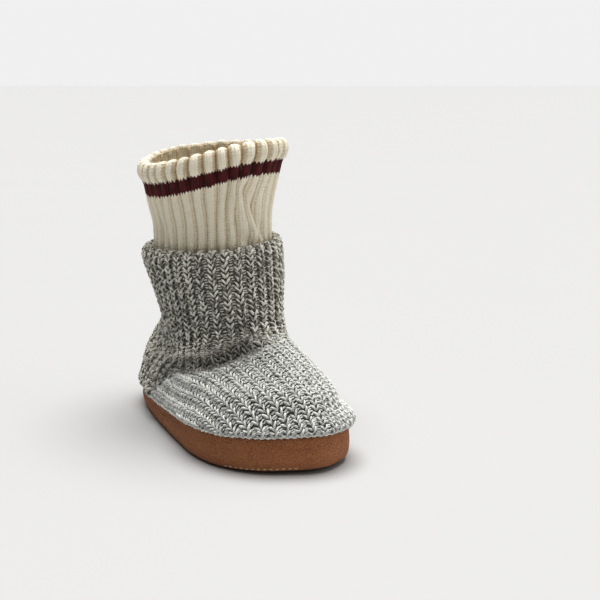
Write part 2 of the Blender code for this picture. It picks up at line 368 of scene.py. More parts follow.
def normalsOf(grid):  # outward normals of a grid of rows and angles
    around = np.roll(grid, -1, axis=1) - np.roll(grid, 1, axis=1)
    normals = np.cross(around, np.gradient(grid, axis=0))
    normals /= np.linalg.norm(normals, axis=2)[:, :, None]
    outward = grid[..., :2] - grid[..., :2].mean(axis=1)[:, None]
    facing = np.sign((normals[..., :2] * outward).sum(axis=2).mean())
    return normals * facing


class Form:  # a surface looked up between the points of its grid
    def __init__(self, grid):
        self.grid, self.normals = grid, normalsOf(grid)

    def at(self, rows, angles):
        count, around = self.grid.shape[:2]
        rows = np.clip(rows, 0, count - 1.001)
        turns = (angles / (2 * np.pi) * around) % around
        i, j = np.floor(rows).astype(int), np.floor(turns).astype(int) % around
        down, aside = (rows - i)[..., None], (turns - np.floor(turns))[..., None]
        beside = (j + 1) % around
        found = []
        for data in (self.grid, self.normals):
            lower = data[i, j] * (1 - aside) + data[i, beside] * aside
            upper = data[i + 1, j] * (1 - aside) + data[i + 1, beside] * aside
            found.append(lower * (1 - down) + upper * down)
        return found


def meshFrom(name, points, faces, grids, material):
    mesh = bpy.data.meshes.new(name)
    mesh.from_pydata(points.tolist(), [], faces)
    mesh.uv_layers.new(name="grid").data.foreach_set("uv", np.asarray(grids, np.float32).ravel())
    mesh.materials.append(material)
    mesh.shade_smooth()
    piece = bpy.data.objects.new(name, mesh)
    scene.collection.objects.link(piece)
    return piece


def gridFaces(rows, around, closedRows=False):
    i = np.arange(rows if closedRows else rows - 1)[:, None]
    j = np.arange(around)[None, :]
    up, side = (i + 1) % rows, (j + 1) % around
    corners = (i * around + j, i * around + side, up * around + side, up * around + j)
    return np.stack(corners, axis=-1).reshape(-1, 4)


def gridCorners(across, along):  # what those faces read at their corners
    both = np.stack(np.broadcast_arrays(across, along), axis=-1)
    low, high = both[:-1], both[1:]
    return np.stack([low[:, :-1], low[:, 1:], high[:, 1:], high[:, :-1]], axis=-2).reshape(-1, 2)


# The knit's form: the boot from its bulge over the sole to the rolled top edge, with its main creases.
# Its rows are counted from the sole up, and its angles from the heel round the outer side to the toe.
knit = {
    "around": 288,
    "spacing": 0.0014,
    "wales": 38,  # columns of stitches round the shaft
    "pitch": 0.0106,  # between columns on the heel
    "row": 0.0042,
    "heelBlend": (0.016, 0.092),  # heights, from the heel's pitch to the shaft's own
    "footPitch": 0.0098,
    "footRow": 0.0041,
    "footTop": 0.150,  # length up the toe's line where the foot's columns end
    "sectionSteps": 36,
    "ridgeStart": 4,  # first row that counts as the foot's ridge
    "sideRows": 0.80,  # how close the foot's rows are beside the shaft
    "fan": -0.10,  # share by which the foot's columns widen to the toe; below 0 they narrow
    "fanReach": (0.15, 0.10, 1.1),  # start from the heel, length, most
    "toeTurn": 0.012,  # height above the sole where they turn down at the toe
    "toeTurnSides": (-1.15, -0.35),  # angles short of the toe, from none to full
    "softenRounds": 6,
    "lowest": 1.4,  # row that a stitch's leg may reach down to
    "edgeClear": 3.0,  # rows at the sole without whole stitches
    "overlap": (3.0, 2.6),  # rows past the crease, of the shaft's stitches and the foot's
    "ground": 0.0026,  # depth of the wall between the stitches
    "groundAtSole": 0.75,  # share of it there
    "groundFades": (0.003, 0.006),  # from the sole's edge, from the top edge
    "liningSpacing": 0.003,
    "patternRow": 0.72,  # share of the way up where the ground's columns are counted
    "creaseDepth": 0.0046,
    "creaseWidth": 0.0046,
    "creasePoints": 240,
    "creaseSoften": (-0.12, -0.06, 0.06, 0.12),
    "pillows": (0.0042, 0.0012),  # rise above the crease and below it
    "pillowPlace": (2.3, 1.5),  # middle and half width, in widths of the crease
    "creaseShares": (0.0, 0.10, 0.25, 0.35, 0.44, 0.50, 0.56, 0.68, 0.82, 1.0),
    "creaseStrengths": (0.40, 0.60, 0.85, 1.0, 1.0, 0.45, 0.12, 0.12, 0.40, 0.30),
    # the crease between shaft and foot, outer side to inner: across, distance from the heel, height
    "crease": (
        (-0.0500, 0.087, 0.0215),
        (-0.0485, 0.097, 0.0320),
        (-0.0460, 0.120, 0.0500),
        (-0.0425, 0.151, 0.0580),
        (-0.0285, 0.181, 0.0680),
        (-0.0094, 0.187, 0.0750),
        (0.0140, 0.180, 0.0800),
        (0.0302, 0.169, 0.0797),
        (0.0410, 0.150, 0.0720),
        (0.0430, 0.125, 0.0580),
        (0.0440, 0.100, 0.0420),
        (0.0430, 0.080, 0.0240),
    ),
}
noCrease = -20.0  # row that stands for none, at the heel
angles = turned(knit["around"])
seatInset = sole["edgeRadius"] * boot["seat"] + boot["clearance"]
seatRing = soleRing(-seatInset, boot["clearance"], soleTop, angles)
bulge = [(out * boot["overhang"], up * boot["droop"]) for out, up in boot["bulge"]]
bulgeRings = [soleRing(out, up, soleTop, angles) for out, up in bulge]
footRings = [footRing(row, angles) for row in boot["foot"]]
shaftRings = [shaftRing(row, angles) for row in boot["shaft"]]
rollRings = [rollRing(inward, below * boot["tuck"], angles) for inward, below in boot["roll"]]
plain = Form(throughRows(bulgeRings + footRings + shaftRings + rollRings, knit["spacing"]))
rowCount = len(plain.grid)
toe = knit["around"] // 2  # the form's line down the middle of the toe
print("boot form:", plain.grid.shape)


def creaseLine():  # angle and row of the crease, by the nearest point of the form
    found = []
    for across, distance, height in knit["crease"]:
        target = np.array([across, sole["length"] / 2 - distance, height])
        row, turn = np.unravel_index(((plain.grid - target) ** 2).sum(axis=2).argmin(), plain.grid.shape[:2])
        found.append((angles[turn], row))
    found.sort()
    return np.array(found).T


creaseAngles, creaseRows = creaseLine()


def creaseRow(at):  # row of the crease at these angles
    rows = np.interp(at, creaseAngles, creaseRows)
    soft = sum(np.interp(at + shift, creaseAngles, creaseRows) for shift in knit["creaseSoften"])
    rows = (rows + soft) / (1 + len(knit["creaseSoften"]))
    return np.where((at < creaseAngles[0]) | (at > creaseAngles[-1]), noCrease, rows)


def creased(form):  # the form with the crease's trough and the pillows beside it
    line = np.linspace(creaseAngles[0], creaseAngles[-1], knit["creasePoints"])
    points, _ = form.at(creaseRow(line), line)
    flat = form.grid.reshape(-1, 3)
    nearest = np.full(len(flat), np.inf)
    which = np.zeros(len(flat), int)
    for index, point in enumerate(points):
        away = np.linalg.norm(flat - point, axis=1)
        closer = away < nearest
        nearest[closer], which[closer] = away[closer], index
    nearest, which = nearest.reshape(form.grid.shape[:2]), which.reshape(form.grid.shape[:2])
    share = which / (len(points) - 1)
    strength = np.interp(share, knit["creaseShares"], knit["creaseStrengths"])
    above = np.arange(rowCount)[:, None] > creaseRow(angles)[None, :]
    width = knit["creaseWidth"]
    middle, half = (width * times for times in knit["pillowPlace"])
    trough = -knit["creaseDepth"] * np.exp(-(nearest / width) ** 2)
    pillow = np.where(above, *knit["pillows"]) * np.exp(-((nearest - middle) / half) ** 2)
    return Form(form.grid + form.normals * ((trough + pillow) * strength)[:, :, None])


shape = creased(plain)


# Fields of columns and rows over the form, and the stitches at their whole numbers
def upward(form):  # length along each angle's line, from the sole's edge up
    steps = np.linalg.norm(np.diff(form.grid, axis=0), axis=2)
    return np.concatenate([np.zeros((1, steps.shape[1])), np.cumsum(steps, axis=0)])


heights = upward(plain)


def roundLengths(grid):  # length round each row, from the heel
    steps = np.linalg.norm(np.roll(grid, -1, axis=1) - grid, axis=2)
    return np.hstack([np.zeros((len(grid), 1)), np.cumsum(steps, axis=1)])


def shaftFields():  # even columns round the shaft, at a fixed pitch down the heel
    lengths = roundLengths(plain.grid)
    whole = lengths[:, -1:]
    share = smoothStep(plain.grid[:, :1, 2], *knit["heelBlend"])
    pitch = knit["pitch"] + (whole / knit["wales"] - knit["pitch"]) * share
    outer = np.arange(knit["around"] + 1)[None, :] <= toe
    columns = np.where(outer, lengths / pitch, knit["wales"] - (whole - lengths) / pitch)
    rows = (heights[-1] - heights) / knit["row"]
    return columns, np.hstack([rows, rows[:, :1]])


def softened(field):
    field = field.copy()
    field[:, 1:-1] = field[:, 1:-1] * 0.5 + (field[:, 2:] + field[:, :-2]) * 0.25
    field[1:-1] = field[1:-1] * 0.5 + (field[2:] + field[:-2]) * 0.25
    return field


def heelDistance(points):
    return sole["length"] / 2 - points[..., 1]


def sectionLengths(last):  # round each cross-section of the foot, from the sole's edge up
    backs, fronts = heelDistance(plain.grid[:, 0]), heelDistance(plain.grid[:, toe])
    sweep = np.sin(np.linspace(0, 1, knit["sectionSteps"]) * np.pi / 2)
    at = np.arange(last)[:, None, None] * sweep[None, None, :]
    backAt, frontAt = (np.interp(at, np.arange(rowCount), ends) for ends in (backs, fronts))
    cosine = 1 - 2 * (heelDistance(plain.grid[:last])[:, :, None] - backAt) / (frontAt - backAt)
    turn = np.arccos(np.clip(cosine, -1, 1))
    outerSide = (angles <= np.pi)[None, :, None]
    path, _ = plain.at(np.broadcast_to(at, turn.shape), np.where(outerSide, turn, 2 * np.pi - turn))
    return np.linalg.norm(np.diff(path, axis=2), axis=3).sum(axis=2)


def footColumns(last, end):  # counted from the ridge, by those lengths
    start = knit["ridgeStart"]
    length = sectionLengths(last)
    distance = heelDistance(plain.grid[:last])
    fronts = heelDistance(plain.grid[start:end, toe])
    order = np.argsort(fronts)
    full = []  # from the edge to the ridge on each side
    for side in (-1, 1):
        near = length[start:end, toe + side]
        near = near + np.linalg.norm(plain.grid[start:end, toe + side] - plain.grid[start:end, toe], axis=1)
        full.append(np.interp(distance, fronts[order], near[order]))
    signed = np.where(angles[None, :] < np.pi, length - full[0], full[1] - length)
    signed[:, toe] = 0
    begin, reach, most = knit["fanReach"]
    spread = 1 + knit["fan"] * np.clip((distance - begin) / reach, 0, most)
    return signed / (knit["footPitch"] * spread)


def footRows(last, end):  # by the length along the ridge, and by distance beside the shaft
    distance = heelDistance(plain.grid[:last])
    fronts = heelDistance(plain.grid[:end, toe])
    gone = runAlong(plain.grid[:end, toe])
    order = np.argsort(fronts)
    run = np.interp(distance, fronts[order], (gone[-1] - gone)[order])
    run = run - np.clip(fronts.min() - distance, 0, None) * knit["sideRows"]
    return run / knit["footRow"]


def footFields():
    last = int(np.argmax(heights[:, toe] > knit["footTop"])) or rowCount // 2
    end = int(creaseRow(np.array([np.pi]))[0]) + 2
    columns, rows = footColumns(last, end), footRows(last, end)
    levels = np.arange(last)
    turnHeight = knit["toeTurn"] * smoothStep(-abs(angles - np.pi), *knit["toeTurnSides"])
    for j in range(knit["around"]):  # straight down to the edge at the toe
        hold = np.interp(turnHeight[j], heights[:last, j], levels)
        down = levels < hold
        extra = (turnHeight[j] - heights[:last, j]) / knit["footRow"]
        columns[down, j] = np.interp(hold, levels, columns[:, j])
        rows[down, j] = (np.interp(hold, levels, rows[:, j]) + extra)[down]
    for _ in range(knit["softenRounds"]):
        columns, rows = softened(columns), softened(rows)
    return columns, rows


# How a stitch is found where both fields are whole
search = {
    "fine": 4,  # looks between two points of the form's grid
    "stagger": 0.45,  # of a row, that a column may stand off its neighbours
    "staggerSeed": 5,
    "mostColumns": 400,
    "mostRows": 1000,
    "columnWeight": 6,  # against a row, in how near a look is
    "near": 0.05,
    "probe": 0.1,  # of a step, to measure it
    "fit": (0.7, 1.5),  # smallest and largest, of the usual size
    "least": 0.4,  # smaller ones are left out
}


def stitchesAt(columns, rows, mask, wrap=None, offset=0.0):
    # the grid's points nearest to each whole column and row, with how the grid runs there
    count, around = columns.shape
    v = np.arange(0, count - 1, 1 / search["fine"])
    a = np.arange(0, around - 1, 1 / search["fine"])
    i, j = np.floor(v).astype(int), np.floor(a).astype(int)
    down, aside = (v - i)[:, None], (a - j)[None, :]

    def sampled(field):
        lower = field[i][:, j] * (1 - aside) + field[i][:, j + 1] * aside
        upper = field[i + 1][:, j] * (1 - aside) + field[i + 1][:, j + 1] * aside
        return lower * (1 - down) + upper * down

    turnStep = 2 * np.pi / knit["around"]
    slopes = [np.gradient(columns, axis=0), np.gradient(columns, turnStep, axis=1),
              np.gradient(rows, axis=0), np.gradient(rows, turnStep, axis=1)]
    c, r = sampled(columns) - offset, sampled(rows)
    turns = np.broadcast_to((a * turnStep)[None, :], c.shape)
    levels = np.broadcast_to(v[:, None], c.shape)
    most = search["stagger"]
    stagger = np.random.default_rng(search["staggerSeed"]).uniform(-most, most, search["mostColumns"])
    r = r + stagger[np.round(c).astype(int)]
    whole = np.round(c).astype(int), np.round(r).astype(int)
    error = (c - whole[0]) ** 2 * search["columnWeight"] + (r - whole[1]) ** 2
    wanted = mask(levels, turns) & (error < search["near"])
    column = whole[0] % wrap if wrap else whole[0]
    key = (column * search["mostRows"] + whole[1])[wanted]
    order = np.lexsort((error[wanted], key))
    first = order[np.concatenate([[True], np.diff(key[order]) != 0])]
    columnUp, columnRound, rowUp, rowRound = [sampled(slope)[wanted][first] for slope in slopes]
    area = columnUp * rowRound - columnRound * rowUp
    area = np.where(abs(area) < 1e-4, 1e-4, area)
    row, turn = levels[wanted][first], turns[wanted][first]
    ways = (
        (np.stack([rowRound, -rowUp], axis=1), knit["pitch"]),
        (np.stack([-columnRound, columnUp], axis=1), knit["row"]),
    )
    steps, sizes, kept = [], [], np.ones(len(row), bool)
    for way, usual in ways:
        step = way / area[:, None]
        probe = step * search["probe"]
        ends = [plain.at(row + sign * probe[:, 0], turn + sign * probe[:, 1])[0] for sign in (1, -1)]
        size = 1 / (2 * search["probe"]) * np.linalg.norm(ends[0] - ends[1], axis=1)
        small, large = (share * usual for share in search["fit"])
        fit = np.clip(size, small, large) / np.maximum(size, 1e-6)
        kept &= size > search["least"] * usual
        steps.append(step * fit[:, None])
        sizes.append(size * fit / usual)
    found = {"row": row, "angle": turn, "perColumn": steps[0], "perRow": steps[1]}
    found["size"] = np.sqrt(sizes[0] * sizes[1])
    return {key: value[kept] for key, value in found.items()}


# A strand of yarn, swept as a tube with two lobes
tube = {
    "sides": 6,
    "lobes": 0.20,  # of the radius
    "twist": 0.7,  # turns of the lobes along a strand
    "marlStarts": (900, 1.37),  # places in the marl where a strand may start, and their spacing
    "sizePower": 0.8,  # how far the thickness follows the stitch's size
    # how strands differ from each other
    "wider": 0.08,
    "aside": 0.022,  # of a column
    "longer": 0.05,
    "along": 0.06,  # of a row
    "lift": 0.00012,
    "thicker": 0.07,
}


def tubeFaces(count, length, sides):  # side faces, strand by strand, and the caps at both ends
    start = np.arange(count)[:, None, None] * length * sides
    i, j = np.arange(length - 1)[None, :, None], np.arange(sides)[None, None, :]
    follow = (j + 1) % sides
    low, high = start + i * sides, start + (i + 1) * sides
    quads = np.stack([low + j, high + j, high + follow, low + follow], axis=-1)
    ends = [start[:, 0] + np.arange(sides)[::-1], start[:, 0] + (length - 1) * sides + np.arange(sides)]
    return quads, np.concatenate(ends)


def yarnTubes(stitches, course, mirror=1.0, lowest=knit["lowest"]):
    across, along, lifts, radii = np.array(course).T
    reach = (
        stitches["row"][:, None]
        + mirror * across * stitches["perColumn"][:, :1]
        - along * stitches["perRow"][:, :1]
    )
    within = reach.min(axis=1) > lowest
    stitches = {key: value[within] for key, value in stitches.items()}
    count, length, sides = len(stitches["row"]), len(course), tube["sides"]
    jitter = chance.normal(size=(count, 6))
    across = mirror * across * (1 + tube["wider"] * jitter[:, :1]) + tube["aside"] * jitter[:, 1:2]
    along = -(along * (1 + tube["longer"] * jitter[:, 2:3]) + tube["along"] * jitter[:, 3:4])
    perColumn, perRow = stitches["perColumn"][:, None, :], stitches["perRow"][:, None, :]
    move = across[..., None] * perColumn + along[..., None] * perRow
    rows = stitches["row"][:, None] + move[..., 0]
    turns = stitches["angle"][:, None] + move[..., 1]
    points, normals = shape.at(rows, turns)
    centre = points + normals * (lifts[None, :, None] + tube["lift"] * jitter[:, 4][:, None, None])
    forward = np.gradient(centre, axis=1)
    forward /= np.linalg.norm(forward, axis=2)[..., None] + 1e-12
    aside = np.cross(forward, normals)
    aside /= np.linalg.norm(aside, axis=2)[..., None] + 1e-12
    outward = np.cross(aside, forward)
    radius = radii * (1 + tube["thicker"] * jitter[:, 5:6]) * stitches["size"][:, None] ** tube["sizePower"]
    turn = turned(sides)
    phase = chance.random(count) * 2 * np.pi
    share = np.linspace(0, 1, length)
    twist = 2 * np.pi * tube["twist"] * share
    swing = 2 * (turn[None, None, :] - twist[None, :, None]) + phase[:, None, None]
    ring = radius[:, :, None] * (1 + tube["lobes"] * np.cos(swing))
    body = (
        centre[:, :, None, :]
        + aside[:, :, None, :] * (ring * np.cos(turn))[..., None]
        + outward[:, :, None, :] * (ring * np.sin(turn))[..., None]
    )
    places, spacing = tube["marlStarts"]
    level = share[None, :, None] + chance.integers(0, places, count)[:, None, None] * spacing
    left, right = [(phase / (2 * np.pi))[:, None, None] + (np.arange(sides) + one) / sides for one in (0, 1)]
    low, high = level[:, :-1], level[:, 1:]
    corners = [np.stack(np.broadcast_arrays(*pair), -1)
               for pair in ((low, left), (high, left), (high, right), (low, right))]
    grid = np.stack(corners, axis=-2)
    quads, caps = tubeFaces(count, length, sides)
    if mirror > 0:  # faces outwards on both legs of a V
        quads, grid, caps = quads[..., ::-1], grid[..., ::-1, :], caps[:, ::-1]
    faces = quads.reshape(-1, 4).tolist() + caps.tolist()
    grids = np.concatenate([grid.reshape(-1, 2), np.full((caps.size, 2), 0.5)])
    # painted shade just above the crease, carried by each point of the strand
    paintedFoldShade = np.repeat(paintedFoldShadeAt(stitches["row"], stitches["angle"] % (2 * np.pi)), length * sides)
    return body.reshape(-1, 3), faces, grids, paintedFoldShade


def joined(name, parts, material):
    points, faces, grids, folds, shift = [], [], [], [], 0
    for vertices, corners, grid, paintedFoldShade in parts:
        points.append(vertices)
        folds.append(paintedFoldShade)
        faces += [[corner + shift for corner in face] for face in corners]
        grids.append(grid)
        shift += len(vertices)
    piece = meshFrom(name, np.concatenate(points), faces, np.concatenate(grids), material)
    # the painted shade above the crease, stored on the points for the yarn's colour
    piece.data.attributes.new("paintedFoldShade", "FLOAT", "POINT").data.foreach_set("value", np.concatenate(folds))
    return piece


# Two-ply marl yarn: one pale strand and one dark, twisted
yarn = {
    # pale strand, mixed grey, dark strand, and how far the pale one covers the dark one
    # one marl yarn in two copies: the shaft's is darker and warmer as painted shade, the foot's is paler as
    # painted light
    "shaft": (tone(223, 221, 209), tone(170, 168, 158), tone(78, 73, 63), 0.55),
    "foot": (tone(218, 220, 215), tone(174, 175, 170), tone(82, 80, 75), 1.16),
    "twist": 0.6,  # turns along one stitch
    "blotches": 1.6,  # how far they break the strands' edges
    "foldPaintedShade": 0.92,  # painted shade: how far the stitches just above the crease are darkened
    "foldShadeReach": (3.5, 9.0),  # middle and half width, in rows of the form
    # the ground's greys, darker than the yarn: partly painted shade in the gaps between stitches, on top of
    # their real depth
    "ground": (tone(58, 56, 52), tone(128, 126, 120)),
}


def marlYarn(name):
    pale, mid, dark, cover = yarn[name]
    material, surface, place, grid = finishOf(name + " marl", 0.92, sheen=0.15)
    along, around, _ = grid.axes()
    blotch = place.noise(place, 900, 2.0, 0.6)
    wander = place.noise(place, 260, 1.0)
    strand = (around - along * yarn["twist"] + (wander - 0.5) * 0.5).wave()
    base = (strand + (blotch - 0.5) * yarn["blotches"] + cover).limited(-0.5, 0.6).blend(dark, pale)
    grey = place.noise(place, 420, 2.0).limited(0.45, 0.75) * 0.5
    marl = grey.blend(base, mid)
    # painted shade: stitches just above the crease darken towards the dark strand
    paintedFoldShade = place.node("ShaderNodeAttribute", {"attribute_name": "paintedFoldShade"}, out=2)
    connect(surface, (paintedFoldShade * yarn["foldPaintedShade"]).blend(marl, dark), "Base Color")
    fibres = place.noise(place, 2200, 2.0, 0.7)
    bumped(surface, strand * 0.6 + fibres, 0.8, 0.0005)
    return material


def paintedFoldShadeAt(rows, turns):  # painted shade: how far a place just above the crease is darkened, 0 to 1
    middle, half = yarn["foldShadeReach"]
    share = (turns - creaseAngles[0]) / (creaseAngles[-1] - creaseAngles[0])
    strength = np.interp(share, knit["creaseShares"], knit["creaseStrengths"], left=0, right=0)
    return strength * np.exp(-(((rows - creaseRow(turns) - middle) / half) ** 2))


# the wall between the stitches, coloured darker than its yarn as painted shade of the gaps; its depth and
# bumps shade it as well
def knitBase():
    material, surface, place, grid = finishOf("knit ground", 0.95, sheen=0.1)
    speck = place.noise(place, 700, 3.0, 0.7).limited(0.35, 0.72)
    connect(surface, speck.blend(*yarn["ground"]), "Base Color")
    column, row, _ = grid.axes()
    loops = (row + column.ridge() * 0.35).ridge() * column.ridge()
    bumped(surface, loops + place.noise(place, 1400, 2.0) * 0.3, 0.8, 0.0012)
    return material


marlMaterials = {name: marlYarn(name) for name in ("shaft", "foot")}
groundMaterial = knitBase()


# The ground wall under the stitches, inside and out
def makeGround():
    lowFade, highFade = knit["groundFades"]
    atSole = knit["groundAtSole"]
    lower = atSole + (1 - atSole) * smoothStep(heights, 0, lowFade)
    upper = smoothStep(heights[-1] - heights, 0, highFade)
    outer = shape.grid - shape.normals * (knit["ground"] * lower * upper)[:, :, None]
    rings = np.array(bulgeRings + footRings + shaftRings)
    coarse = rings - normalsOf(rings) * boot["wall"]
    inner = throughRows(coarse[len(bulgeRings) - 1 : -1][::-1], knit["liningSpacing"])
    tuckEnd = rollRing(1.0, -boot["tuck"] - 4 * boot["clearance"], angles)
    lining = soleRing(-boot["wall"] * boot["liningInset"], boot["wall"], soleTop, angles)
    turnedIn = soleRing(-(seatInset + boot["lasting"]), boot["clearance"], soleTop, angles)
    grid = np.concatenate([seatRing[None], outer, tuckEnd[None], inner, lining[None], turnedIn[None]])
    faces = gridFaces(*grid.shape[:2], closedRows=True)
    share = roundLengths(plain.grid[int(rowCount * knit["patternRow"])][None])[0]
    columns = share / share[-1] * knit["wales"]
    level = runAlong(grid) / knit["row"]
    grids = gridCorners(columns[None, :], np.append(level, level[-1])[:, None])
    return meshFrom("knitGround", grid.reshape(-1, 3), faces.tolist(), grids, groundMaterial)


ground = makeGround()
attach(ground, "root")
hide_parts("upper")
print("knit ground made")


# Stitches: two legs of each V, and the short strands that cross between the columns.
# Each strand has rows of across (columns), along (rows, to the V's open end), height and radius (metres).
stitch = {
    "shaftLeg": (
        (0.020, -0.60, -0.00250, 0.00042),
        (0.040, -0.43, -0.00150, 0.00076),
        (0.088, -0.20, -0.00080, 0.00094),
        (0.148, 0.01, -0.00060, 0.00100),
        (0.208, 0.22, -0.00075, 0.00096),
        (0.262, 0.43, -0.00150, 0.00080),
        (0.292, 0.60, -0.00250, 0.00044),
    ),
    "footLeg": (
        (0.026, -0.54, -0.00250, 0.00040),
        (0.050, -0.39, -0.00150, 0.00066),
        (0.105, -0.18, -0.00085, 0.00082),
        (0.170, 0.01, -0.00065, 0.00087),
        (0.236, 0.20, -0.00080, 0.00084),
        (0.300, 0.39, -0.00150, 0.00068),
        (0.345, 0.54, -0.00250, 0.00042),
    ),
    "edge": (
        (-0.80, 0.55, -0.00260, 0.00050),
        (-0.45, 0.30, -0.00110, 0.00092),
        (0.00, 0.00, -0.00060, 0.00112),
        (0.45, -0.30, -0.00110, 0.00092),
        (0.80, -0.55, -0.00260, 0.00050),
    ),
    "ladder": (
        (-0.19, 0.12, -0.00300, 0.00045),
        (-0.10, 0.17, -0.00255, 0.00060),
        (0.00, 0.19, -0.00235, 0.00066),
        (0.10, 0.17, -0.00255, 0.00060),
        (0.19, 0.12, -0.00300, 0.00045),
    ),
    "cradle": (
        (-0.18, -0.20, -0.00310, 0.00045),
        (-0.09, -0.28, -0.00265, 0.00058),
        (0.00, -0.31, -0.00250, 0.00064),
        (0.09, -0.28, -0.00265, 0.00058),
        (0.18, -0.20, -0.00310, 0.00045),
    ),
}


def dressed(name, fields, mask, wrap=None, shallow=0.0):
    found = stitchesAt(*fields, mask, wrap)
    gaps = stitchesAt(*fields, mask, wrap, offset=0.5)
    leg = stitch[name + "Leg"]
    marl = marlMaterials[name]
    legs = joined(name + "Stitches", [yarnTubes(found, leg), yarnTubes(found, leg, mirror=-1.0)], marl)
    raised = [np.array(stitch[course]) + (0, 0, shallow, 0) for course in ("ladder", "cradle")]
    crossing = [yarnTubes(gaps, course) for course in raised]
    strands = joined(name + "Ladders", crossing, marl)
    for piece in (legs, strands):
        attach(piece, "root")
        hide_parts("upper")
    print(name, "stitches:", len(found["row"]), "strands:", len(gaps["row"]))


def onShaft(levels, turns):
    beyond = knit["overlap"][0]
    return (levels > creaseRow(turns % (2 * np.pi)) - beyond) & (levels > knit["edgeClear"])


def onFoot(levels, turns):
    beyond = knit["overlap"][1]
    return (levels < creaseRow(turns) + beyond) & (levels > knit["edgeClear"])


dressed("shaft", shaftFields(), onShaft, wrap=knit["wales"])
dressed("foot", footFields(), onFoot, shallow=0.0010)


# One course of slanted strands all round, where the knit meets the sole
edge = {
    "row": 1.3,  # of the form
    "spacing": 0.0046,
    "points": 1200,
}


def edgeCourse():
    fine = np.linspace(0, 2 * np.pi, edge["points"])
    line, _ = shape.at(np.full(edge["points"], edge["row"]), fine)
    run = runAlong(line)
    count = round(run[-1] / edge["spacing"])
    places = np.interp(np.arange(count) * run[-1] / count, run, fine)
    wide = (np.roll(places, -1) - np.roll(places, 1)) % (2 * np.pi) / 2
    still = np.zeros(count)
    return {
        "row": still + edge["row"],
        "angle": places,
        "perColumn": np.stack([still, wide], axis=1),
        "perRow": np.stack([still + 1.0, still], axis=1),
        "size": still + 1.0,
    }


edgeStrands = yarnTubes(edgeCourse(), stitch["edge"], lowest=0.0)
edgePiece = joined("edgeStitches", [edgeStrands], marlMaterials["foot"])
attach(edgePiece, "root")
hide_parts("upper")


# The ribbed cuff, with its turned hem and one dark stripe
cuff = {
    "around": 608,
    "spacing": 0.0016,
    "ribs": 32,
    "walesPerRib": 5,
    "fineRow": 0.0021,
    "height": 0.2205,
    "wall": 0.003,
    "hemWall": 0.0055,
    "hemDepth": 0.0165,
    "hemSwell": 0.0014,
    "hemFade": (0.002, 0.004),  # of the hem into the ribs, before its depth and after
    "rim": ((0.2, 0.18), (0.0, 0.50), (0.2, 0.85)),  # below its top, inwards, in walls of the hem
    "hemRise": 0.0046,  # of a rib, from its groove
    "ribRise": 0.0032,
    "ribPower": (1.7, 0.8),  # how sharp a rib is, and how much less so on the hem
    "split": (0.18, 0.2),  # groove along a rib: share of the rise, half width
    "sunk": 0.60,  # share of the rise that lies inside the solid's wall
    "uneven": 0.10,  # between ribs
    "rimSoften": (0.5, 0.003),  # less rise there: share, half width
    "turnOver": (-0.007, -0.001),  # below the rim, from the inside's rise to the outside's
    "insideRise": 0.6,
    "upRise": 0.8,  # share of the rise that acts upwards
    "wander": ((3, 60, 0.10), (7, -95, 0.05), (11, 140, 0.03)),
    "slant": (3.30, 0.057, 0.36, 0.019, 8.5),  # angle, below the rim, half widths, turn of the ribs there
    "stripe": (0.0170, 0.0280),  # below the rim
    "tooth": 0.0022,  # how far the stripe's edges follow the stitches
    "ragged": 0.0030,
    "blur": (0.0006, 0.0012),
    "foldEnd": (0.070, 0.079),
    # folds: angle and depth below the rim at both ends, height, half width
    "folds": (
        (3.24, 0.037, 3.70, 0.070, -0.0030, 0.0042),
        (2.95, 0.045, 3.30, 0.074, -0.0018, 0.0044),
        (3.08, 0.043, 3.48, 0.070, 0.0024, 0.0050),
        (1.55, 0.040, 1.70, 0.072, -0.0014, 0.0060),
        (5.00, 0.038, 4.80, 0.074, -0.0022, 0.0050),
        (5.75, 0.042, 5.95, 0.074, -0.0016, 0.0060),
    ),
    # share of the height, flare, lean from the knit's tilt to the collar's
    "rows": (
        (0.07, 0.00, 0.10),
        (0.28, 0.05, 0.45),
        (0.52, 0.38, 1.00),
        (0.76, 0.80, 1.00),
        (0.91, 1.00, 1.00),
    ),
    "cream": tone(255, 247, 225),
    # the deeper cream: random tone, and painted shade in the rib grooves
    "creamToneAndShade": tone(196, 172, 134),
    "stripeColour": tone(92, 28, 30),
    "stripeToneAndShade": tone(44, 12, 13),
    # how much each of these lightens the yarn; rib and hem are painted shade, the yarn darker in the grooves
    # between ribs
    "light": {"wale": 0.30, "row": 0.20, "worn": 0.25, "rib": 0.40, "speck": 0.25, "hem": 0.40},
    "fibresFrom": 0.148,  # height
    "fibresClear": (0.002, 0.003),  # above the stripe and below it
}


def cuffRing(level, flare, lean, inset, around):
    plan = grown(between(ovalPlan("waist"), ovalPlan("collar"), flare), -inset)
    across, distance, side, along = ringOf(plan, around)
    tilt = between(boot["seamLean"], boot["collarLean"], lean)
    return placed(across, distance, leaning(level, side, along, *tilt))


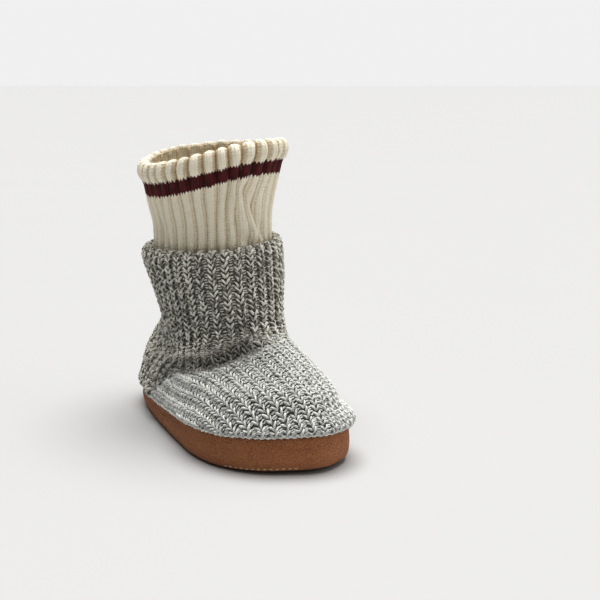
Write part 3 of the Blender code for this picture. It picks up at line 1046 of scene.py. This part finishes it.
def cuffMaterial():
    material, surface, place, grid = finishOf("cream rib knit", 0.92)
    rib, below, _ = grid.axes()  # ribs, and metres below the rim
    wale = (rib * cuff["walesPerRib"]).ridge()
    row = (below / cuff["fineRow"] + wale * 0.55).ridge()
    tooth = below + wale * cuff["tooth"] + (place.noise(place, 260, 1.0) - 0.5) * cuff["ragged"]
    (start, end), (near, far) = cuff["stripe"], cuff["blur"]
    stripe = tooth.limited(start + near, start + far) * (1 - tooth.limited(end + near, end + far))
    worn = place.noise(place, 160, 3.0, 0.6)
    speck = place.noise(place, 900, 2.0, 0.6).limited(0.30, 0.62)
    # painted shade: 1 on a rib's crest, lower towards its groove, where the yarn is darkened, more so on the
    # hem
    ribPaintedLight = rib.ridge().limited(0.0, 0.7)
    hem = 1 - below.limited(cuff["hemDepth"] - 0.001, cuff["hemDepth"] + 0.003)
    light = cuff["light"]
    depth = wale * light["wale"] + row * light["row"] + worn * light["worn"] + ribPaintedLight * light["rib"]
    depth = (depth + speck * light["speck"] + (ribPaintedLight - 1) * hem * light["hem"]).limited(0.10, 0.98)
    cream = depth.blend(cuff["creamToneAndShade"], cuff["cream"])
    # the stripe's deep red takes the same mix: painted groove shade as well as random tone
    dark = (depth * worn).limited(0.1, 0.7).blend(cuff["stripeToneAndShade"], cuff["stripeColour"])
    connect(surface, stripe.blend(cream, dark), "Base Color")
    fibres = place.noise(place, 1100, 2.0, 0.6)
    bumped(surface, row * 0.8 + wale * 1.1 + fibres * 0.8, 0.7, 0.0010)
    return material


def ribPhase(turn, below):  # ribs counted round the cuff, with their wander
    phase = turn * cuff["ribs"] / (2 * np.pi)
    for times, run, size in cuff["wander"]:
        phase = phase + size * np.sin(times * turn + run * below)
    angle, depth, wide, high, lean = cuff["slant"]
    window = np.exp(-(((turn - angle) / wide) ** 2) - ((below - depth) / high) ** 2)
    return phase - window * lean * (below - depth) * cuff["ribs"] / (2 * np.pi)


def folded(turn, below):
    reach = ovalPlan("waist")[1] - ovalPlan("waist")[0]
    total = 0 * turn * below
    for fromTurn, fromBelow, toTurn, toBelow, height, wide in cuff["folds"]:
        start = np.array([fromTurn * reach / 2, fromBelow])
        way = np.array([toTurn * reach / 2, toBelow]) - start
        across, down = turn * reach / 2 - start[0], below - start[1]
        share = np.clip((across * way[0] + down * way[1]) / (way @ way), 0, 1)
        gap = np.hypot(across - share * way[0], down - share * way[1])
        total = total + height * np.exp(-((gap / wide) ** 2))
    return total


def cuffGrid(around):  # its plain wall: up outside, over the rim, down inside
    rise = cuff["height"] - boot["height"]
    rows = [(boot["height"] - boot["tuck"], 0.0, 0.0)]
    rows += [(boot["height"] + height * rise, flare, lean) for height, flare, lean in cuff["rows"]]
    hem = cuff["hemWall"]
    rim = [cuffRing(cuff["height"] - hem * low, 1.0, 1.0, hem * inset, around) for low, inset in cuff["rim"]]
    walls = [hem, hem] + [cuff["wall"]] * (len(rows) - 2)
    outside = [cuffRing(*row, 0.0, around) for row in rows]
    inside = [cuffRing(*row, wall, around) for row, wall in zip(rows[::-1], walls)]
    return throughRows(outside + rim + inside, cuff["spacing"])


def ribLift(phase, below, onHem):  # how far the ribs stand off that wall
    deep = abs(below)
    saw = abs((phase % 1) * 2 - 1)  # 1 in the groove, 0 on top of a rib
    power, less = cuff["ribPower"]
    profile = np.clip(np.cos(saw * np.pi / 2), 1e-6, 1) ** (power - less * onHem)
    share, wide = cuff["split"]
    profile = profile - share * (1 - onHem) * np.exp(-((saw / wide) ** 2))
    each = chance.normal(size=cuff["ribs"])[np.floor(phase).astype(int) % cuff["ribs"]]
    ribRise = cuff["ribRise"] + (cuff["hemRise"] - cuff["ribRise"]) * onHem
    soft, half = cuff["rimSoften"]
    lift = (profile * (1 + cuff["uneven"] * each) - cuff["sunk"]) * ribRise
    lift = lift * (1 - soft * np.exp(-((deep / half) ** 2)))
    swell = cuff["hemSwell"] * np.sin(np.pi * np.clip(deep / cuff["hemDepth"], 0, 1)) * (0.5 + profile)
    return lift + swell


def makeCuff():
    around = turned(cuff["around"])
    grid = cuffGrid(around)
    length = runAlong(grid)
    top = int(np.argmax(grid[:, :, 2].mean(axis=1)))
    below = (length[top] - length)[:, None]  # metres below the rim outside, negative inside
    deep = abs(below)
    phase = ribPhase(around[None, :], deep)
    before, after = cuff["hemFade"]
    onHem = 1 - smoothStep(deep, cuff["hemDepth"] - before, cuff["hemDepth"] + after)
    side = smoothStep(below, *cuff["turnOver"]) * (1 + cuff["insideRise"]) - cuff["insideRise"]
    free = 1 - smoothStep(below, *cuff["foldEnd"])
    lift = ribLift(phase, below, onHem) * side + folded(around[None, :], deep) * free * np.sign(side)
    grid = grid + normalsOf(grid) * np.array([1, 1, cuff["upRise"]]) * lift[:, :, None]
    faces = gridFaces(*grid.shape[:2], closedRows=True)
    phases = np.hstack([phase, ribPhase(np.array([[2 * np.pi]]), deep)])
    phases, levels = np.vstack([phases, phases[-1:]]), np.append(below, below[-1])
    grids = gridCorners(phases, levels[:, None])
    print("cuff grid:", grid.shape)
    piece = meshFrom("cuffKnit", grid.reshape(-1, 3), faces.tolist(), grids, cuffMaterial())
    (start, end), (above, under) = cuff["stripe"], cuff["fibresClear"]
    onStripe = (below > start - above) & (below < end + under)
    return piece, ((grid[:, :, 2] > cuff["fibresFrom"]) & ~onStripe).ravel()


cuffPiece, creamSpots = makeCuff()
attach(cuffPiece, "root")
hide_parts("cuff")


# Loose fibres that stand off the yarn
fuzz = {
    "knit": 7000,
    "knitFrom": 0.026,  # height
    "cuff": 7000,
    "length": 0.0030,
    "shortest": 0.35,  # of that length
    "width": 0.00013,
    "steps": (0.0, 0.35, 0.7, 1.0),  # places along a fibre
    "rise": (1.1, 0.5),  # off the yarn, and how much less towards the tip
    "lean": (0.75, 0.7),  # between fibres, along a fibre
    "curl": 0.5,
    "taper": 1.05,
}


def readBack(mesh, name):  # a value of each vertex, as rows of three
    values = np.empty(len(mesh.vertices) * 3)
    mesh.vertices.foreach_get(name, values)
    return values.reshape(-1, 3)


def makeFuzz(name, piece, count, material, spots):
    roots = chance.choice(np.where(spots)[0], count)
    start, out = readBack(piece.data, "co")[roots], readBack(piece.data, "normal")[roots]
    (spread, sway), (rise, less) = fuzz["lean"], fuzz["rise"]
    lean = chance.normal(size=(count, 3)) * spread
    curl = chance.normal(size=(count, 3)) * fuzz["curl"]
    size = fuzz["length"] * chance.uniform(fuzz["shortest"], 1.0, count)[:, None]
    sidewise = np.cross(out, chance.normal(size=(count, 3)))
    sidewise /= np.linalg.norm(sidewise, axis=1)[:, None] + 1e-9
    rows = []
    for share in fuzz["steps"]:
        way = out * share * (rise - less * share) + lean * share * sway + curl * share * share
        middle = start + size * way
        half = sidewise * fuzz["width"] / 2 * (fuzz["taper"] - share)
        rows += [middle - half, middle + half]
    body = np.stack(rows, axis=1).reshape(-1, 3)
    corners = np.array([[0, 1, 3, 2], [2, 3, 5, 4], [4, 5, 7, 6]])
    faces = (np.arange(count)[:, None, None] * len(rows) + corners[None]).reshape(-1, 4)
    print(name, "fibres:", count)
    return meshFrom(name, body, faces.tolist(), np.zeros((faces.size, 2)), material)


def fibre(name, pale, deep):
    material, surface, place, _ = finishOf(name, 0.9)
    connect(surface, place.noise(place, 300, 1.0).blend(deep, pale), "Base Color")
    return material


groundHeights = np.array([vertex.co.z for vertex in ground.data.vertices])
marlFibre = fibre("marl fibre", *yarn["foot"][:2])
knitFuzz = makeFuzz("knitFuzz", ground, fuzz["knit"], marlFibre, groundHeights > fuzz["knitFrom"])
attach(knitFuzz, "root")
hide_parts("upper")
creamFibre = fibre("cream fibre", cuff["cream"], cuff["creamToneAndShade"])
cuffFuzz = makeFuzz("cuffFuzz", cuffPiece, fuzz["cuff"], creamFibre, creamSpots)
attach(cuffFuzz, "root")
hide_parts("cuff")


# The padded sole in its suede wrap
wrap = {
    "around": 288,
    "swell": 0.0006,
    "sideRows": (0.25, 0.5, 0.75),  # places up the side
    # round edges, in edge radii: in from the sole's edge, above its bottom or its top
    "under": ((0.70, 0.00), (0.30, 0.28), (0.06, 0.90)),
    "over": ((0.00, -1.40), (0.04, -0.60), (0.18, -0.22), (0.50, 0.00), (1.50, 0.00), (3.00, 0.00)),
    "suede": tone(176, 109, 67),
    "suedeDark": tone(138, 82, 48),
    "suedePale": tone(200, 131, 84),
}


def suede():
    material, surface, place, _ = finishOf("brown suede", 0.95, sheen=0.06)
    nap = place.noise(place, 1150, 2.0, 0.65)
    patch = place.noise(place, 55, 3.0, 0.55)
    base = (nap * 0.85 + patch * 0.15).limited(0.34, 0.66).blend(wrap["suedeDark"], wrap["suedePale"])
    connect(surface, (patch.limited(0.35, 0.65) * 0.35).blend(base, wrap["suede"]), "Base Color")
    bumped(surface, nap + place.noise(place, 1600, 2.0) * 0.4, 1.0, 0.0018)
    return material


def closedAcross(base, around):  # faces from side to side over one ring of points
    strips = []
    for i in range(around // 2):
        strip = [base + i, base + i + 1, base + around - i - 1, base + (around - i) % around]
        strips.append(list(dict.fromkeys(strip)))
    return strips


def makeSole():
    around = turned(wrap["around"])
    radius, lift = sole["edgeRadius"], sole["rimLift"]
    recess = sole["outsoleMargin"] - boot["clearance"]
    rings = [soleRing(-recess, up, soleBottom, around)
             for up in (sole["outsoleThickness"] + boot["clearance"], lift)]
    under = [(radius * inset, lift + radius * up) for inset, up in wrap["under"]]
    rings += [soleRing(-inset, up, soleBottom, around) for inset, up in under]
    over = [soleRing(-radius * inset, radius * up, soleTop, around) for inset, up in wrap["over"]]
    low, high = rings[-1], over[0]
    for share in wrap["sideRows"]:
        middle = low * (1 - share) + high * share
        outward = normalsOf(np.array([low, middle, high]))[1]
        rings.append(middle + outward * wrap["swell"] * math.sin(math.pi * share))
    grid = np.array(rings + over)
    count = wrap["around"]
    faces = gridFaces(len(grid), count).tolist()
    faces += [strip[::-1] for strip in closedAcross(0, count)]
    faces += closedAcross((len(grid) - 1) * count, count)
    corners = sum(len(face) for face in faces)
    return meshFrom("soleWrap", grid.reshape(-1, 3), faces, np.zeros((corners, 2)), suede())


# A row of short thread stitches at the front of the sole's lower edge
seam = {
    "reach": (2.34, 2.92),  # angles from the heel
    "spacing": 0.0044,
    "share": 0.55,  # of the spacing that a stitch takes
    "inset": 0.0011,  # from the sole's edge
    "up": 0.0026,  # from its bottom
    "sides": 6,
    "radius": 0.00055,
    "taper": (0.35, 0.9, 1.0, 0.9, 0.35),
    "tilt": 0.0002,
    "points": 400,
    "thread": (tone(196, 158, 120), tone(236, 206, 172)),
}


def makeSeam():
    line = soleRing(-seam["inset"], seam["up"], soleBottom, np.linspace(*seam["reach"], seam["points"]))
    run = runAlong(line)
    sides, length, parts = seam["sides"], len(seam["taper"]), []
    turn, up = turned(sides), np.array([0, 0, 1])
    radius = seam["radius"] * np.array(seam["taper"])
    for middle in np.arange(seam["spacing"] / 2, run[-1], seam["spacing"]):
        spots = middle + np.linspace(-0.5, 0.5, length) * seam["spacing"] * seam["share"]
        centre = np.column_stack([np.interp(spots, run, line[:, axis]) for axis in range(3)])
        centre[:, 2] += np.linspace(-seam["tilt"], seam["tilt"], length) * chance.normal()
        along = (centre[-1] - centre[0]) / np.linalg.norm(centre[-1] - centre[0])
        ring = np.cross(along, up) * np.cos(turn)[:, None] + up * np.sin(turn)[:, None]
        points = (centre[:, None] + ring[None] * radius[:, None, None]).reshape(-1, 3)
        first, last = list(range(sides)), list(range((length - 1) * sides, length * sides))
        faces = gridFaces(length, sides).tolist() + [first, last[::-1]]
        corners = sum(len(face) for face in faces)
        parts.append((points, faces, np.zeros((corners, 2)), np.zeros(len(points))))
    material, surface, place, _ = finishOf("seam thread", 0.8)
    connect(surface, place.noise(place, 1200, 2.0).blend(*seam["thread"]), "Base Color")
    return joined("seamThread", parts, material)


solePiece, seamPiece = makeSole(), makeSeam()
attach(seamPiece, "root")
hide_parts("midsole")
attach(solePiece, "root")
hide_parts("midsole")
print("sole made")


# Outsole and insole keep their solids and get their finishes
def rubber():
    material, surface, place, _ = finishOf("dark rubber", 0.8)
    grain = place.noise(place, 900, 3.0, 0.6)
    connect(surface, grain.blend(tone(38, 34, 31), tone(62, 56, 51)), "Base Color")
    bumped(surface, grain, 0.4, 0.0004)
    return material


def felt():
    material, surface, place, _ = finishOf("grey felt", 0.95, sheen=0.3)
    fibres = place.noise(place, 500, 4.0, 0.75)
    connect(surface, fibres.limited(0.3, 0.7).blend(tone(112, 109, 101), tone(176, 172, 161)), "Base Color")
    bumped(surface, fibres, 0.6, 0.0008)
    return material


for node, finish in (("outsole", rubber()), ("insole", felt())):
    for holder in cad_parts[node].material_slots:
        holder.material = finish


# Floor, backdrop and light
studio = {
    "floor": tone(174, 174, 174),
    "floorShade": 0.985,
    "floorReach": 60.0,
    "backdrop": (0.872, 0.872, 0.872, 1),
    "skyBase": 0.05,
    "skyTint": (1.0, 0.985, 0.955, 1),
    # broad soft lights in the sky: direction, brightness
    "lobes": (
        ((0.0, 0.0, 1.0), 0.14),
        ((0.88, -0.46, 0.02), 0.62),
    ),
    "fade": (-0.1, 1.0),  # of their light, away from that direction
    "key": 5.45,
    "keyAngle": 50,
    "keyFrom": (0.09, 0.12, 1.0),
    "keyColour": (1.0, 0.995, 0.985),
}


def makeFloor():
    mesh = bpy.data.meshes.new("floor")
    far = studio["floorReach"]
    mesh.from_pydata([(-far, -far, 0), (far, -far, 0), (far, far, 0), (-far, far, 0)], [], [(0, 1, 2, 3)])
    material, surface, place, _ = finishOf("pale floor", 0.9)
    pale = studio["floor"]
    shade = (*[value * studio["floorShade"] for value in pale[:3]], 1)
    connect(surface, place.noise(place, 4, 1.0).blend(pale, shade), "Base Color")
    mesh.materials.append(material)
    floor = bpy.data.objects.new("floor", mesh)
    scene.collection.objects.link(floor)


def makeSky():
    world = bpy.data.worlds.new("studio")
    world.use_nodes = True
    tree = world.node_tree
    start = Wire(tree)
    place = start.node("ShaderNodeTexCoord", out=0)
    glow = studio["skyBase"]
    for direction, brightness in studio["lobes"]:
        sockets = {0: place, 1: tuple(Vector(direction).normalized())}
        facing = start.node("ShaderNodeVectorMath", {"operation": "DOT_PRODUCT"}, sockets, out=1)
        glow = facing.limited(*studio["fade"]) * brightness + glow
    sky = start.node("ShaderNodeBackground", None, {"Color": studio["skyTint"], "Strength": glow})
    plainBack = start.node("ShaderNodeBackground", None, {"Color": studio["backdrop"], "Strength": 1.0})
    seen = start.node("ShaderNodeLightPath", out=0)
    both = start.node("ShaderNodeMixShader", None, {0: seen, 1: sky, 2: plainBack})
    tree.links.new(both.socket, tree.nodes["World Output"].inputs["Surface"])
    scene.world = world


def makeKey():
    lamp = bpy.data.lights.new("key", "SUN")
    lamp.angle = math.radians(studio["keyAngle"])
    lamp.energy = studio["key"]
    lamp.color = studio["keyColour"]
    key = bpy.data.objects.new("key", lamp)
    key.rotation_mode = "QUATERNION"
    key.rotation_quaternion = Vector(studio["keyFrom"]).to_track_quat("Z", "Y")
    scene.collection.objects.link(key)


makeFloor()
makeSky()
makeKey()
scene.view_settings.view_transform = "Standard"
print("studio made")
